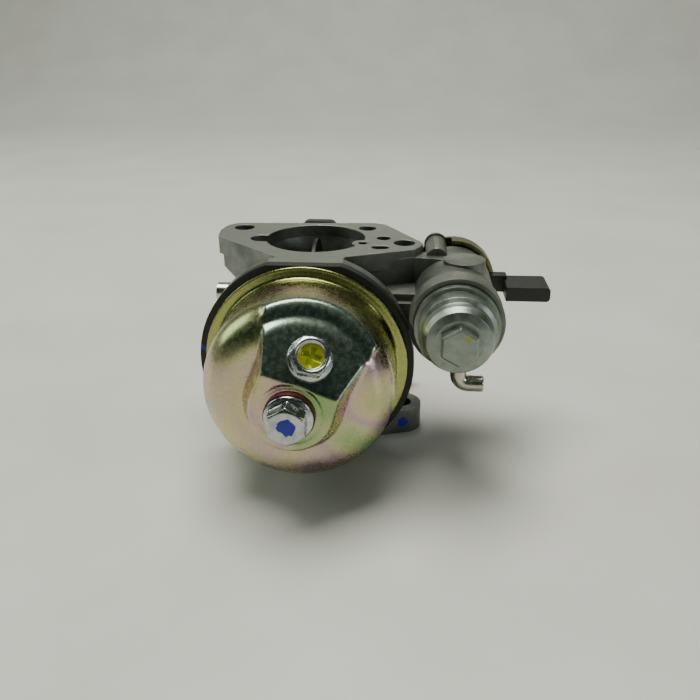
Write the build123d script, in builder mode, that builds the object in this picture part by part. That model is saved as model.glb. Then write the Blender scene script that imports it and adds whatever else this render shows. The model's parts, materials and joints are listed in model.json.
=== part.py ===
from build123d import *
import math
import os

os.makedirs("parts", exist_ok=True)

# A float-bowl carburetor for a large single-cylinder engine, in millimetres.
# The throat axis is Z. The engine flange's face is at Z = 0 and the air flange's face is at the top.
# In service the float bowl hangs down, which is -Y here. A "drop" is a distance from the throat
# axis in that direction, so a drop of 30 is Y = -30, and a negative drop is above the throat.

# ---- driving dimensions: flanges and throat ----
air_face_z = 66.2
air_flange_t = 5.8
engine_flange_t = 8.6
engine_ear_r = 7.0
engine_port_wall = 6.0
stud_spacing = 58.0
stud_tilt = 16.4
stud_mid_x = 1.45
stud_mid_y = 3.75
stud_hole_r = 3.5
throat_outer_r = 18.6
throttle_bore_r = 13.5
engine_port_r = 14.2
engine_port_depth = 8.0
venturi_r = 11.2
choke_bore_r = 14.6
mouth_r = 16.3
mouth_depth = 5.0
throttle_z = 14.0
choke_z = 51.0
running_gap = 0.06
disc_gap = 0.1

# ---- float bowl ----
bowl_z = 34.8
bowl_wall_r = 27.9
bowl_flange_r = bowl_wall_r + 3.4
bowl_sheet = 1.2
bowl_seat_drop = 30.3
bowl_floor_drop = 63.6
bowl_ring_drop = 56.5
bowl_corner_r = 9.9
bowl_pad_r = 12.4
rim_r = bowl_flange_r + 2.0
rim_top_drop = 23.0
chamber_roof_drop = 25.5
gasket_groove_depth = 1.4
facet_azimuth = 20.0
facet_tilt = 40.0
facet_start = 9.0
facet_half_width = 11.6
facet_flare = 0.4
drain_rise = 8.0

# ---- fuel metering ----
pillar_r = 6.5
pillar_drop = 58.0
nozzle_r = 2.0
nozzle_top_drop = 8.0
jet_r = 2.6
main_thread_r = 3.0
thread_gap = 0.05
needle_x = 15.5
needle_r = 2.0
needle_seat_r = 3.2
needle_seat_top = 20.0
needle_seat_bottom = 28.0
orifice_r = 0.9
pin_x = 21.0
pin_drop = 32.0
pin_r = 0.9
float_outer_r = bowl_wall_r - 3.9
float_inner_r = 8.6
float_top_drop = 35.0
float_bottom_drop = 45.0
float_arm_half = 9.0

# ---- fuel cock and sediment cup ----
cock_x = rim_r + 11.9
cock_z = 51.4
cock_r = 13.9
cock_barrel_r = 12.7
cock_ring_length = 7.0
cock_rim_drop = 36.9
cup_thread_r = 10.6
cup_bore_gap = 0.3
cup_flange_r = 12.4
cup_body_r = 11.2
cup_nose_r = 10.0
cup_end_drop = 51.0
hex_af = 10.0
cup_hex_height = 3.0
packing_r = 8.8
packing_t = 2.6
packing_pocket = 2.3
lever_disc_r = 8.9
lever_disc_t = 4.2
wave_spring_t = 1.0
plate_r = 14.2
plate_t = 1.2
plate_screw_reach = 12.7
plate_boss_r = 3.4
nipple_drop = 24.0
nipple_x = cock_x + 2.1
nipple_z = 26.3
nipple_r = 2.6
nipple_bore_r = 1.5
nipple_bend_r = 3.4
nipple_end_x = cock_x + 10.2

# ---- shafts and levers ----
throttle_shaft_r = 3.0
choke_shaft_r = 2.6
disc_t = 1.2
shaft_foot_drop = 20.0
throttle_boss_top = 22.5
throttle_boss_r = 6.2
choke_boss_top = 27.0
choke_boss_r = 5.6
throttle_layer = 24.6
choke_layer = 30.0
lever_t = 3.6
throttle_arm = 29.8
throttle_arm_dip = 8.7
idle_arm = 18.0

# ---- small screws ----
m3_r = 1.45
m3_head_r = 2.6
m4_r = 2.0
spring_wire_r = 0.45

stud_dx = stud_spacing / 2 * math.cos(math.radians(stud_tilt))
stud_dy = stud_spacing / 2 * math.sin(math.radians(stud_tilt))
stud_left = (stud_mid_x - stud_dx, stud_mid_y + stud_dy)
stud_right = (stud_mid_x + stud_dx, stud_mid_y - stud_dy)


def drop_plane(x, z, drop):
    """A plane facing down in service, with its local X along +X and its local Y along +Z."""
    return Plane(origin=(x, -drop, z), x_dir=(1, 0, 0), z_dir=(0, -1, 0))


def rod_down(x, z, radius, top, bottom, mode=Mode.ADD):
    """A round rod or bore along the service vertical, between two drops."""
    with BuildSketch(drop_plane(x, z, top)) as section:
        Circle(radius)
    extrude(section.sketch, amount=bottom - top, mode=mode)


def turned_down(points, x, z, mode=Mode.ADD):
    """A turned piece on the service vertical through (x, z). Points are (radius, drop)."""
    with BuildSketch(Plane(origin=(x, 0, z), x_dir=(1, 0, 0), z_dir=(0, 0, -1))) as section:
        with BuildLine():
            Polyline(*points, close=True)
        make_face()
    revolve(section.sketch, axis=Axis((x, 0, z), (0, 1, 0)), mode=mode)


def rod_along(start, direction, radius, length, mode=Mode.ADD):
    """A round rod or bore from a start point along any direction."""
    with BuildSketch(Plane(origin=start, z_dir=direction)) as section:
        Circle(radius)
    extrude(section.sketch, amount=length, mode=mode)


def hex_down(x, z, across_flats, top, bottom, mode=Mode.ADD):
    """A hexagon along the service vertical with one corner towards +Z."""
    with BuildSketch(drop_plane(x, z, top)) as section:
        RegularPolygon(across_flats / 2, 6, major_radius=False, rotation=30)
    extrude(section.sketch, amount=bottom - top, mode=mode)


def spring_coil(start, direction, radius, length, turns):
    """An open coil spring of round wire."""
    base = Plane(origin=start, z_dir=direction)
    path = base.location * Helix(pitch=length / turns, height=length, radius=radius)
    with BuildSketch(Plane(origin=path @ 0, z_dir=path % 0)) as wire:
        Circle(spring_wire_r)
    sweep(wire.sketch, path=path, is_frenet=True)


# ---- shared frames ----
azimuth = math.radians(facet_azimuth)
tilt = math.radians(facet_tilt)
azimuth_dir = Vector(math.sin(azimuth), 0, math.cos(azimuth))
facet_cross = Vector(math.cos(azimuth), 0, -math.sin(azimuth))
facet_normal = Vector(
    math.sin(azimuth) * math.sin(tilt), -math.cos(tilt), math.cos(azimuth) * math.sin(tilt)
)
facet_origin = Vector(0, -bowl_floor_drop, bowl_z) + azimuth_dir * facet_start
facet_plane = Plane(origin=facet_origin, x_dir=facet_cross, z_dir=facet_normal)
drain_foot = facet_plane.from_local_coords((0, drain_rise, 0))
drain_plane = Plane(origin=drain_foot, x_dir=facet_cross, z_dir=facet_normal)


def polar(radius, degrees):
    """A point on the sketch plane at a radius and an angle."""
    return (radius * math.cos(math.radians(degrees)), radius * math.sin(math.radians(degrees)))


def keystone_outline(half):
    """The corners of the raised sump's flaring outline, which runs along the azimuth past the wall."""
    reach = bowl_wall_r + 6
    half_far = half + facet_flare * (reach - facet_start)
    return [
        (-half, 0),
        (half, 0),
        (half, facet_start),
        (half_far, reach),
        (-half_far, reach),
        (-half, facet_start),
    ]


def bowl_blank(inset, overshoot):
    """The drawn bowl as a solid, with every face moved in by the inset."""
    wall = bowl_wall_r - inset
    ring = bowl_ring_drop - inset
    corner = bowl_corner_r - inset
    floor = bowl_floor_drop - inset
    top = bowl_seat_drop - overshoot
    slope = corner * math.sqrt(0.5)
    flat = facet_plane.offset(-inset)
    sump_plane = Plane(origin=(0, -top, bowl_z), x_dir=facet_cross, z_dir=(0, -1, 0))
    # The ring: a flat crown, a round corner and the wall
    with BuildSketch(Plane(origin=(0, 0, bowl_z), x_dir=(1, 0, 0), z_dir=(0, 0, -1))) as section:
        with BuildLine():
            Polyline((wall, ring - corner), (wall, top), (0, top), (0, ring), (wall - corner, ring))
            ThreePointArc(
                (wall - corner, ring),
                (wall - corner + slope, ring - corner + slope),
                (wall, ring - corner),
            )
        make_face()
    revolve(section.sketch, axis=Axis((0, 0, bowl_z), (0, 1, 0)))
    # Where the facet lies higher than the ring it is cut into it
    with BuildSketch(sump_plane) as cut_outline:
        Polygon(*keystone_outline(facet_half_width + inset), align=None)
    with BuildPart(mode=Mode.PRIVATE) as above_facet:
        extrude(cut_outline.sketch, amount=bowl_floor_drop)
        split(bisect_by=flat, keep=Keep.TOP)
    add(above_facet.part, mode=Mode.SUBTRACT)
    # The sump: the bolt pad and the slanted keystone, held inside the wall
    with BuildSketch(sump_plane) as sump_outline:
        Circle(bowl_pad_r - inset)
        Polygon(*keystone_outline(facet_half_width - inset), align=None)
    with BuildPart(mode=Mode.PRIVATE) as sump:
        extrude(sump_outline.sketch, amount=floor - top)
        split(bisect_by=flat, keep=Keep.BOTTOM)
        with BuildSketch(drop_plane(0, bowl_z, top)):
            Circle(wall)
        extrude(amount=bowl_floor_drop, mode=Mode.INTERSECT)
    add(sump.part)


# ================= carburetor body =================
lx, ly = stud_left
rx, ry = stud_right
tongue_half = 9.6
tongue_x = 0.8
tongue_drop = 26.0
air_flange_outline = [
    (lx - 6.5, ly - 11.7),
    (lx - 7.6, ly - 3.3),
    (lx - 6.3, ly + 3.0),
    (lx - 3.6, ly + 6.0),
    (rx - 10.8, ry + 24.8),
    (rx - 6.8, ry + 22.6),
    (rx + 5.2, ry + 1.8),
    (rx + 6.1, ry - 1.4),
    (rx + 3.4, ry - 7.1),
    (tongue_x + tongue_half + 1.2, -20.6),
    (tongue_x + tongue_half, -tongue_drop),
    (tongue_x - tongue_half, -tongue_drop),
    (tongue_x - tongue_half - 1.6, -20.9),
]
plate_screws = [
    (
        cock_x + plate_screw_reach * math.cos(math.radians(a)),
        cock_z + plate_screw_reach * math.sin(math.radians(a)),
    )
    for a in (116, 230)
]
plate_level = packing_t - packing_pocket + 0.05 + lever_disc_t + wave_spring_t + 0.1
idle_x = -idle_arm
idle_y = throttle_layer + lever_t / 2
idle_lug_low = 24.0
idle_lug_high = 29.5
idle_tip_z = throttle_z + 3.5
pilot_y = -6.0
pilot_z = 48.8
pilot_face_x = lx + 1.4
pilot_jet_x = -10.0
pilot_jet_z = 38.0
pilot_jet_seat = 21.0
web_low = 53.8
web_high = 63.75
web_corner_x = 3.4
rib_left = 24.0
rib_right = cock_x - 10.7
rib_low = 45.0
rib_back = 10.0
plug_x = 12.0
plug_z = 30.0
plug_y = 18.0

with BuildPart() as carburetor_body:
    # Throat barrel between the two flanges
    with BuildSketch() as barrel:
        Circle(throat_outer_r)
    extrude(barrel.sketch, amount=air_face_z)
    # Engine flange: an oval around the port with an ear at each stud
    with BuildSketch() as engine_flange:
        Circle(throttle_bore_r + engine_port_wall)
        with Locations(stud_left, stud_right):
            Circle(engine_ear_r)
        make_hull()
    extrude(engine_flange.sketch, amount=engine_flange_t)
    # Air flange with its tongue over the bowl rim
    with BuildSketch(Plane.XY.offset(air_face_z - air_flange_t)) as air_flange:
        with BuildLine():
            Polyline(*air_flange_outline, close=True)
        make_face()
        fillet(air_flange.vertices(), 0.9)
    extrude(air_flange.sketch, amount=air_flange_t)
    # Gusset under the left ear of the air flange, standing just inside the flange's outline
    with BuildSketch(Plane.XY.offset(pilot_z - 8)) as gusset_plan:
        Polygon(
            (lx - 5.3, ly - 11.2),
            (lx - 6.3, ly - 3.3),
            (lx - 5.0, ly + 2.0),
            (-throat_outer_r / 2, ly + 2.0),
            (-throat_outer_r / 2, -20.0),
            (tongue_x - tongue_half - 2.0, -19.4),
            align=None,
        )
    with BuildPart(mode=Mode.PRIVATE) as gusset:
        extrude(gusset_plan.sketch, amount=air_face_z - air_flange_t - pilot_z + 8)
        with BuildSketch(Plane.XZ.offset(-2 * ly)):
            Polygon(
                (lx - 7.0, air_face_z),
                (0, air_face_z),
                (0, pilot_z - 8),
                (-throat_outer_r - 1, pilot_z - 8),
                (lx + 3.5, pilot_z + 2),
                (lx - 5.5, pilot_z + 7),
                align=None,
            )
        extrude(amount=5 * ly, mode=Mode.INTERSECT)
    add(gusset.part)
    # Bowl rim and the neck that joins it to the throat
    rod_down(0, bowl_z, rim_r, rim_top_drop, bowl_seat_drop)
    rod_down(0, bowl_z, 22.0, 4.0, rim_top_drop)
    with Locations((stud_mid_x, -rim_top_drop / 2 - 6, (air_face_z + bowl_z) / 2)):
        Box(2 * tongue_half, rim_top_drop - 2, air_face_z - bowl_z)
    # Shaft bosses above the throat, and below it for the blind ends
    rod_down(0, throttle_z, throttle_boss_r, -throttle_boss_top, shaft_foot_drop + 3.5)
    rod_down(0, choke_z, choke_boss_r, -choke_boss_top, shaft_foot_drop + 3.5)
    # Web between the throat and the fuel cock, with its front along the air flange's slanted side
    with BuildSketch(Plane.XY.offset(web_low)) as web:
        with BuildLine():
            Polyline(
                (11.2, -20.0),
                (stud_right[0] + web_corner_x, -12.0),
                (cock_x - 2.2, -14.0),
                (cock_x - 2.2, -6.0),
                (11.2, -6.0),
                close=True,
            )
        make_face()
    extrude(web.sketch, amount=web_high - web_low)
    with Locations(((12 + cock_x) / 2, -13.0, (web_low + cock_z - 9.9) / 2)):
        Box(cock_x - 12, 10, web_low - cock_z + 9.9)
    # Stepped rib between the bowl rim and the fuel cock
    for step_drop, step_top in ((22.5, 55.3), (24.5, 53.0)):
        with Locations(((rib_left + rib_right) / 2, -(step_drop + rib_back) / 2, (rib_low + step_top) / 2)):
            Box(rib_right - rib_left, step_drop - rib_back, step_top - rib_low)
    rod_down(cock_x, cock_z, cock_barrel_r, 0, cock_rim_drop)
    rod_down(cock_x, cock_z, cock_r, cock_rim_drop - cock_ring_length, cock_rim_drop)
    rod_along((cock_x + 2.6, -16.6, cock_z), (0, 0, 1), 6.4, cock_barrel_r + 0.8)
    # Bosses for the two screws of the fuel lever's plate
    for screw_x, screw_z in plate_screws:
        rod_down(screw_x, screw_z, plate_boss_r, -plate_level, 10)
    # Idle screw lug, mixture screw boss, pilot jet boss and passage plug boss
    with Locations((idle_x + 3, (8 + idle_y + 4) / 2, (idle_lug_low + idle_lug_high) / 2)):
        Box(15, idle_y + 4 - 8, idle_lug_high - idle_lug_low)
    rod_along((-12, pilot_y, pilot_z), (-1, 0, 0), 5.2, -pilot_face_x - 12)
    rod_down(pilot_jet_x, pilot_jet_z, 4.6, -pilot_jet_seat, -8)
    rod_down(plug_x, plug_z, 4.0, -plug_y, -8)
    # The rim is cut flush with the machined air face
    with Locations((0, -27, air_face_z + 6)):
        Box(90, 20, 12, mode=Mode.SUBTRACT)
    # Throat: port, throttle bore, venturi, choke bore and mouth
    with BuildSketch(Plane.XZ) as throat:
        with BuildLine():
            Polyline(
                (0, -1),
                (engine_port_r, -1),
                (engine_port_r, engine_port_depth),
                (throttle_bore_r, engine_port_depth),
                (throttle_bore_r, throttle_z + 13),
                (venturi_r, throttle_z + 20.5),
                (venturi_r, bowl_z + 1.2),
                (choke_bore_r, bowl_z + 7.2),
                (choke_bore_r, choke_z + 2.5),
                (mouth_r, air_face_z - mouth_depth + 1.2),
                (mouth_r, air_face_z + 1),
                (0, air_face_z + 1),
                close=True,
            )
        make_face()
    revolve(throat.sketch, axis=Axis.Z, mode=Mode.SUBTRACT)
    # Boss of the pilot air jet, standing into the mouth
    with BuildSketch(Plane.XY.offset(air_face_z - mouth_depth)) as jet_boss:
        with Locations((mouth_r - 0.4, -5.4)):
            Circle(3.5)
    extrude(jet_boss.sketch, amount=mouth_depth)
    # Holes and pockets in the air face
    with BuildSketch(Plane.XY.offset(air_face_z)) as face_pockets:
        with Locations((-(mouth_r + 0.6), -1.4)):
            SlotOverall(9.4, 7.4)
        with Locations((mouth_r + 5.4, -10.0)):
            SlotOverall(5.6, 3.6)
        with Locations((mouth_r + 6.1, 0.8)):
            Circle(2.3)
        with Locations((mouth_r - 0.4, -5.4)):
            Circle(1.5)
    extrude(face_pockets.sketch, amount=-4.0, mode=Mode.SUBTRACT)
    with BuildSketch(Plane.XY.offset(air_face_z)) as bracket_hole:
        with Locations((mouth_r + 0.05, 13.0)):
            Circle(3.0)
    extrude(bracket_hole.sketch, amount=-air_flange_t, mode=Mode.SUBTRACT)
    with BuildSketch(Plane.XY.offset(-1)) as stud_holes:
        with Locations(stud_left, stud_right):
            Circle(stud_hole_r)
    extrude(stud_holes.sketch, amount=air_face_z + 2, mode=Mode.SUBTRACT)
    # Float chamber roof and gasket groove
    rod_down(0, bowl_z, bowl_wall_r - bowl_sheet, chamber_roof_drop, bowl_seat_drop + 1, Mode.SUBTRACT)
    turned_down(
        [
            (bowl_wall_r + 0.6, bowl_seat_drop - gasket_groove_depth),
            (bowl_flange_r - 0.9, bowl_seat_drop - gasket_groove_depth),
            (bowl_flange_r - 0.9, bowl_seat_drop + 1),
            (bowl_wall_r + 0.6, bowl_seat_drop + 1),
        ],
        0,
        bowl_z,
        Mode.SUBTRACT,
    )
    # Centre pillar, needle seat boss and float pin posts
    rod_down(0, bowl_z, pillar_r, venturi_r + 0.8, pillar_drop)
    rod_down(needle_x, bowl_z, 4.8, chamber_roof_drop - 4, needle_seat_bottom - 0.5)
    for side in (-1, 1):
        post_z = bowl_z + side * (float_arm_half + 1.9)
        with Locations((pin_x, -(chamber_roof_drop + pin_drop) / 2 - 0.6, post_z)):
            Box(3.6, pin_drop - chamber_roof_drop + 3.6, 2.8)
    # Bores of the pillar: bolt thread, jet thread, nozzle
    rod_down(0, bowl_z, main_thread_r, 50, pillar_drop + 1, Mode.SUBTRACT)
    rod_down(0, bowl_z, jet_r, 42, 51, Mode.SUBTRACT)
    rod_down(0, bowl_z, nozzle_r, 5, 43, Mode.SUBTRACT)
    rod_down(needle_x, bowl_z, needle_seat_r, needle_seat_top, chamber_roof_drop + 5, Mode.SUBTRACT)
    rod_along(
        (pin_x, -pin_drop, bowl_z - float_arm_half - 5), (0, 0, 1), pin_r,
        2 * float_arm_half + 10, Mode.SUBTRACT,
    )
    # Fuel gallery from the cock to the needle seat
    rod_along((cock_x, -20, cock_z - 8), (-1, 0, 0), 1.5, cock_x - needle_x, Mode.SUBTRACT)
    rod_along((needle_x, -20, cock_z - 8), (0, 0, -1), 1.5, cock_z - 8 - bowl_z + 1, Mode.SUBTRACT)
    # Shaft bearings
    rod_down(
        0, throttle_z, throttle_shaft_r + running_gap, -throttle_boss_top - 1,
        shaft_foot_drop + 0.3, Mode.SUBTRACT,
    )
    rod_down(
        0, choke_z, choke_shaft_r + running_gap, -choke_boss_top - 1,
        shaft_foot_drop + 0.3, Mode.SUBTRACT,
    )
    rod_down(0, throttle_z, 4.7, -throttle_boss_top - 1, -throttle_boss_top + 2.4, Mode.SUBTRACT)
    rod_down(0, choke_z, 4.2, -choke_boss_top - 1, -choke_boss_top + 2.2, Mode.SUBTRACT)
    # Fuel cock: cup bore, strainer seat, packing pocket, passages and nipple hole
    rod_down(
        cock_x, cock_z, cup_thread_r + cup_bore_gap, cock_rim_drop - 8.5,
        cock_rim_drop + 1, Mode.SUBTRACT,
    )
    rod_down(cock_x, cock_z, packing_r, -1, packing_pocket, Mode.SUBTRACT)
    rod_down(cock_x - 4, cock_z, 1.5, 0, cock_rim_drop - 8, Mode.SUBTRACT)
    rod_down(cock_x + 2, cock_z, 1.5, 0, nipple_drop, Mode.SUBTRACT)
    rod_along((nipple_x, -nipple_drop, cock_z), (0, 0, -1), nipple_bore_r, 20, Mode.SUBTRACT)
    rod_along(
        (nipple_x, -nipple_drop, cock_z - cock_barrel_r + 5), (0, 0, -1), nipple_r, 8, Mode.SUBTRACT
    )
    # Cup O-ring recess in the rim of the cock barrel
    turned_down(
        [
            (cup_thread_r, cock_rim_drop - 1.4),
            (cup_flange_r, cock_rim_drop - 1.4),
            (cup_flange_r, cock_rim_drop + 1),
            (cup_thread_r, cock_rim_drop + 1),
        ],
        cock_x,
        cock_z,
        Mode.SUBTRACT,
    )
    # Screw holes
    for screw_x, screw_z in plate_screws:
        rod_down(screw_x, screw_z, m3_r, -plate_level - 1, 4, Mode.SUBTRACT)
    rod_along((idle_x, idle_y, idle_lug_low - 1), (0, 0, 1), m4_r + thread_gap, 8, Mode.SUBTRACT)
    rod_along((pilot_face_x - 1, pilot_y, pilot_z), (1, 0, 0), m4_r + thread_gap, 14, Mode.SUBTRACT)
    rod_along((pilot_face_x - 1, pilot_y, pilot_z), (1, 0, 0), 3.4, 5, Mode.SUBTRACT)
    rod_down(pilot_jet_x, pilot_jet_z, 3.0, -pilot_jet_seat - 1, -16, Mode.SUBTRACT)
    rod_down(pilot_jet_x, pilot_jet_z, 2.0, -17, -13.5, Mode.SUBTRACT)
    rod_down(plug_x, plug_z, 2.5, -plug_y - 1, -plug_y + 3, Mode.SUBTRACT)
carburetor_body.part.label = "carburetor_body"
export_step(carburetor_body.part, "parts/carburetor_body.step")

# ================= float bowl and its fasteners =================
with BuildPart() as bowl_cavity:
    bowl_blank(bowl_sheet, bowl_sheet)

with BuildPart() as float_bowl:
    bowl_blank(0.0, 0.0)
    rod_down(0, bowl_z, bowl_flange_r, bowl_seat_drop, bowl_seat_drop + bowl_sheet)
    add(bowl_cavity.part, mode=Mode.SUBTRACT)
    rod_down(0, bowl_z, main_thread_r + 0.2, bowl_floor_drop - 3, bowl_floor_drop + 1, Mode.SUBTRACT)
    rod_along(drain_foot - facet_normal * 3, facet_normal, main_thread_r + 0.2, 4, Mode.SUBTRACT)
float_bowl.part.label = "float_bowl"
export_step(float_bowl.part, "parts/float_bowl.step")

with BuildPart() as bowl_gasket:
    turned_down(
        [
            (bowl_wall_r + 0.7, bowl_seat_drop - gasket_groove_depth),
            (bowl_flange_r - 1.0, bowl_seat_drop - gasket_groove_depth),
            (bowl_flange_r - 1.0, bowl_seat_drop),
            (bowl_wall_r + 0.7, bowl_seat_drop),
        ],
        0,
        bowl_z,
    )
bowl_gasket.part.label = "bowl_gasket"
export_step(bowl_gasket.part, "parts/bowl_gasket.step")

bowl_washer_t = 1.5
bolt_flange_t = 1.2
bolt_hex_height = 4.5
bolt_flange_r = 6.8
head_top = bowl_floor_drop + bowl_washer_t

with BuildPart() as bowl_bolt_washer:
    rod_down(0, bowl_z, bolt_flange_r + 0.3, bowl_floor_drop, head_top)
    rod_down(0, bowl_z, main_thread_r + 0.2, bowl_floor_drop - 1, head_top + 1, Mode.SUBTRACT)
bowl_bolt_washer.part.label = "bowl_bolt_washer"
export_step(bowl_bolt_washer.part, "parts/bowl_bolt_washer.step")

with BuildPart() as bowl_bolt:
    rod_down(0, bowl_z, main_thread_r - thread_gap, 51.5, head_top)
    rod_down(0, bowl_z, bolt_flange_r, head_top, head_top + bolt_flange_t)
    hex_down(0, bowl_z, hex_af, head_top, head_top + bolt_flange_t + bolt_hex_height)
    chamfer(bowl_bolt.faces().sort_by(Axis.Y)[0].edges(), 0.5)
bowl_bolt.part.label = "bowl_bolt"
export_step(bowl_bolt.part, "parts/bowl_bolt.step")

drain_washer_t = 1.0
drain_head_height = 4.6
drain_nut_t = 3.2
drain_seat = drain_plane.offset(drain_washer_t)

with BuildPart() as drain_washer:
    with BuildSketch(drain_plane) as washer_ring:
        Circle(bolt_flange_r - 0.5)
        Circle(main_thread_r + 0.2, mode=Mode.SUBTRACT)
    extrude(washer_ring.sketch, amount=drain_washer_t)
drain_washer.part.label = "drain_washer"
export_step(drain_washer.part, "parts/drain_washer.step")

with BuildPart() as drain_bolt:
    with BuildSketch(drain_seat) as drain_flange:
        Circle(bolt_flange_r - 0.6)
    extrude(drain_flange.sketch, amount=0.9)
    with BuildSketch(drain_seat) as drain_hex:
        RegularPolygon(hex_af / 2, 6, major_radius=False, rotation=10)
    extrude(drain_hex.sketch, amount=drain_head_height)
    with BuildSketch(drain_seat.offset(drain_head_height)) as drain_dish:
        Circle(hex_af / 2 - 1.0)
    extrude(drain_dish.sketch, amount=-0.9, mode=Mode.SUBTRACT)
    with BuildSketch(drain_seat) as drain_shank:
        Circle(main_thread_r - thread_gap)
    extrude(drain_shank.sketch, amount=-(drain_washer_t + bowl_sheet + drain_nut_t + 0.6))
drain_bolt.part.label = "drain_bolt"
export_step(drain_bolt.part, "parts/drain_bolt.step")

with BuildPart() as drain_nut:
    with BuildSketch(drain_plane.offset(-bowl_sheet)) as nut_section:
        Circle(bolt_flange_r - 1.4)
        Circle(main_thread_r, mode=Mode.SUBTRACT)
    extrude(nut_section.sketch, amount=-drain_nut_t)
drain_nut.part.label = "drain_nut"
export_step(drain_nut.part, "parts/drain_nut.step")

# ================= metering pieces in the chamber =================
with BuildPart() as main_jet:
    rod_down(0, bowl_z, jet_r - thread_gap, 44.5, 50)
    rod_down(0, bowl_z, 0.6, 44, 51, Mode.SUBTRACT)
    with Locations((0, -50, bowl_z)):
        Box(2 * jet_r, 1.6, 0.8, mode=Mode.SUBTRACT)
main_jet.part.label = "main_jet"
export_step(main_jet.part, "parts/main_jet.step")

with BuildPart() as main_nozzle:
    rod_down(0, bowl_z, nozzle_r - 0.03, nozzle_top_drop, 43.5)
    rod_down(0, bowl_z, jet_r - thread_gap, 42, 44.4)
    rod_down(0, bowl_z, 1.1, nozzle_top_drop - 1, 45, Mode.SUBTRACT)
    for drop in (20, 24, 28):
        rod_along((0, -drop, bowl_z - 3), (0, 0, 1), 0.4, 6, Mode.SUBTRACT)
main_nozzle.part.label = "main_nozzle"
export_step(main_nozzle.part, "parts/main_nozzle.step")

with BuildPart() as needle_seat:
    rod_down(needle_x, bowl_z, needle_seat_r, needle_seat_top, needle_seat_bottom)
    rod_down(
        needle_x, bowl_z, needle_r + running_gap, needle_seat_top + 2, needle_seat_bottom + 1,
        Mode.SUBTRACT,
    )
    rod_down(needle_x, bowl_z, orifice_r, needle_seat_top - 1, needle_seat_top + 3, Mode.SUBTRACT)
needle_seat.part.label = "needle_seat"
export_step(needle_seat.part, "parts/needle_seat.step")

needle_tip = needle_seat_top + 2.06
needle_foot = pin_drop + 1.0
with BuildPart() as needle_valve:
    turned_down(
        [
            (0, needle_tip),
            (orifice_r + 0.1, needle_tip),
            (needle_r, needle_tip + 2.2),
            (needle_r, needle_foot - 3),
            (0.8, needle_foot - 2.6),
            (0.8, needle_foot),
            (0, needle_foot),
        ],
        needle_x,
        bowl_z,
    )
    for side in (-1, 1):
        with Locations((needle_x + side * (needle_r + 0.25), -needle_tip - 4.5, bowl_z)):
            Box(1.2, 6, 2 * needle_r, mode=Mode.SUBTRACT)
needle_valve.part.label = "needle_valve"
export_step(needle_valve.part, "parts/needle_valve.step")

with BuildPart() as float_pin:
    rod_along(
        (pin_x, -pin_drop, bowl_z - float_arm_half - 4.2), (0, 0, 1), pin_r,
        2 * float_arm_half + 8.4,
    )
float_pin.part.label = "float_pin"
export_step(float_pin.part, "parts/float_pin.step")

tab_top = needle_foot + 0.2
with BuildPart() as chamber_float:
    with BuildSketch(drop_plane(0, bowl_z, float_top_drop)) as ring:
        Circle(float_outer_r)
        Circle(float_inner_r, mode=Mode.SUBTRACT)
        with Locations((needle_x + 9.5, 0)):
            Rectangle(24, 2 * float_arm_half, mode=Mode.SUBTRACT)
    extrude(ring.sketch, amount=float_bottom_drop - float_top_drop)
    fillet(chamber_float.edges().filter_by(Axis.Y), 1.2)
    chamfer(chamber_float.faces().sort_by(Axis.Y)[0].edges(), 1.0)
    for side in (-1, 1):
        with Locations((pin_x / 2 + 5, -(pin_drop + 2.2), bowl_z + side * (float_arm_half - 1.5))):
            Box(pin_x - 10, 2.8, 3.0)
    rod_along(
        (pin_x, -pin_drop, bowl_z - float_arm_half + 0.1), (0, 0, 1), 2.2, 2 * float_arm_half - 0.2
    )
    with Locations(((pin_x + needle_x - 2.4) / 2, -tab_top - 0.6, bowl_z)):
        Box(pin_x - needle_x + 2.4, 1.2, 6.0)
    rod_along(
        (pin_x, -pin_drop, bowl_z - float_arm_half - 1), (0, 0, 1), pin_r + running_gap,
        2 * float_arm_half + 2, Mode.SUBTRACT,
    )
chamber_float.part.label = "chamber_float"
export_step(chamber_float.part, "parts/chamber_float.step")

# ================= sediment cup =================
cup_seat = cock_rim_drop + 0.3
with BuildPart() as sediment_cup:
    turned_down(
        [
            (0, cup_end_drop),
            (cup_nose_r - 3.2, cup_end_drop),
            (cup_nose_r - 1.0, cup_end_drop - 0.9),
            (cup_nose_r, cup_end_drop - 3.0),
            (cup_nose_r, cup_seat + 8.0),
            (cup_body_r, cup_seat + 7.0),
            (cup_body_r, cup_seat + 2.2),
            (cup_flange_r, cup_seat + 2.2),
            (cup_flange_r, cup_seat),
            (cup_thread_r - 0.1, cup_seat),
            (cup_thread_r - 0.1, cup_seat - 5.0),
            (cup_thread_r - 2.4, cup_seat - 5.0),
            (cup_thread_r - 3.0, cup_end_drop - 4.0),
            (0, cup_end_drop - 4.0),
        ],
        cock_x,
        cock_z,
    )
    hex_down(cock_x, cock_z, hex_af, cup_end_drop - 1, cup_end_drop + cup_hex_height)
    chamfer(sediment_cup.faces().sort_by(Axis.Y)[0].edges(), 0.6)
sediment_cup.part.label = "sediment_cup"
export_step(sediment_cup.part, "parts/sediment_cup.step")

with BuildPart() as cup_o_ring:
    turned_down(
        [
            (cup_thread_r + 0.05, cock_rim_drop - 1.4),
            (cup_flange_r - 0.1, cock_rim_drop - 1.4),
            (cup_flange_r - 0.1, cup_seat),
            (cup_thread_r + 0.05, cup_seat),
        ],
        cock_x,
        cock_z,
    )
cup_o_ring.part.label = "cup_o_ring"
export_step(cup_o_ring.part, "parts/cup_o_ring.step")

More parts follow.
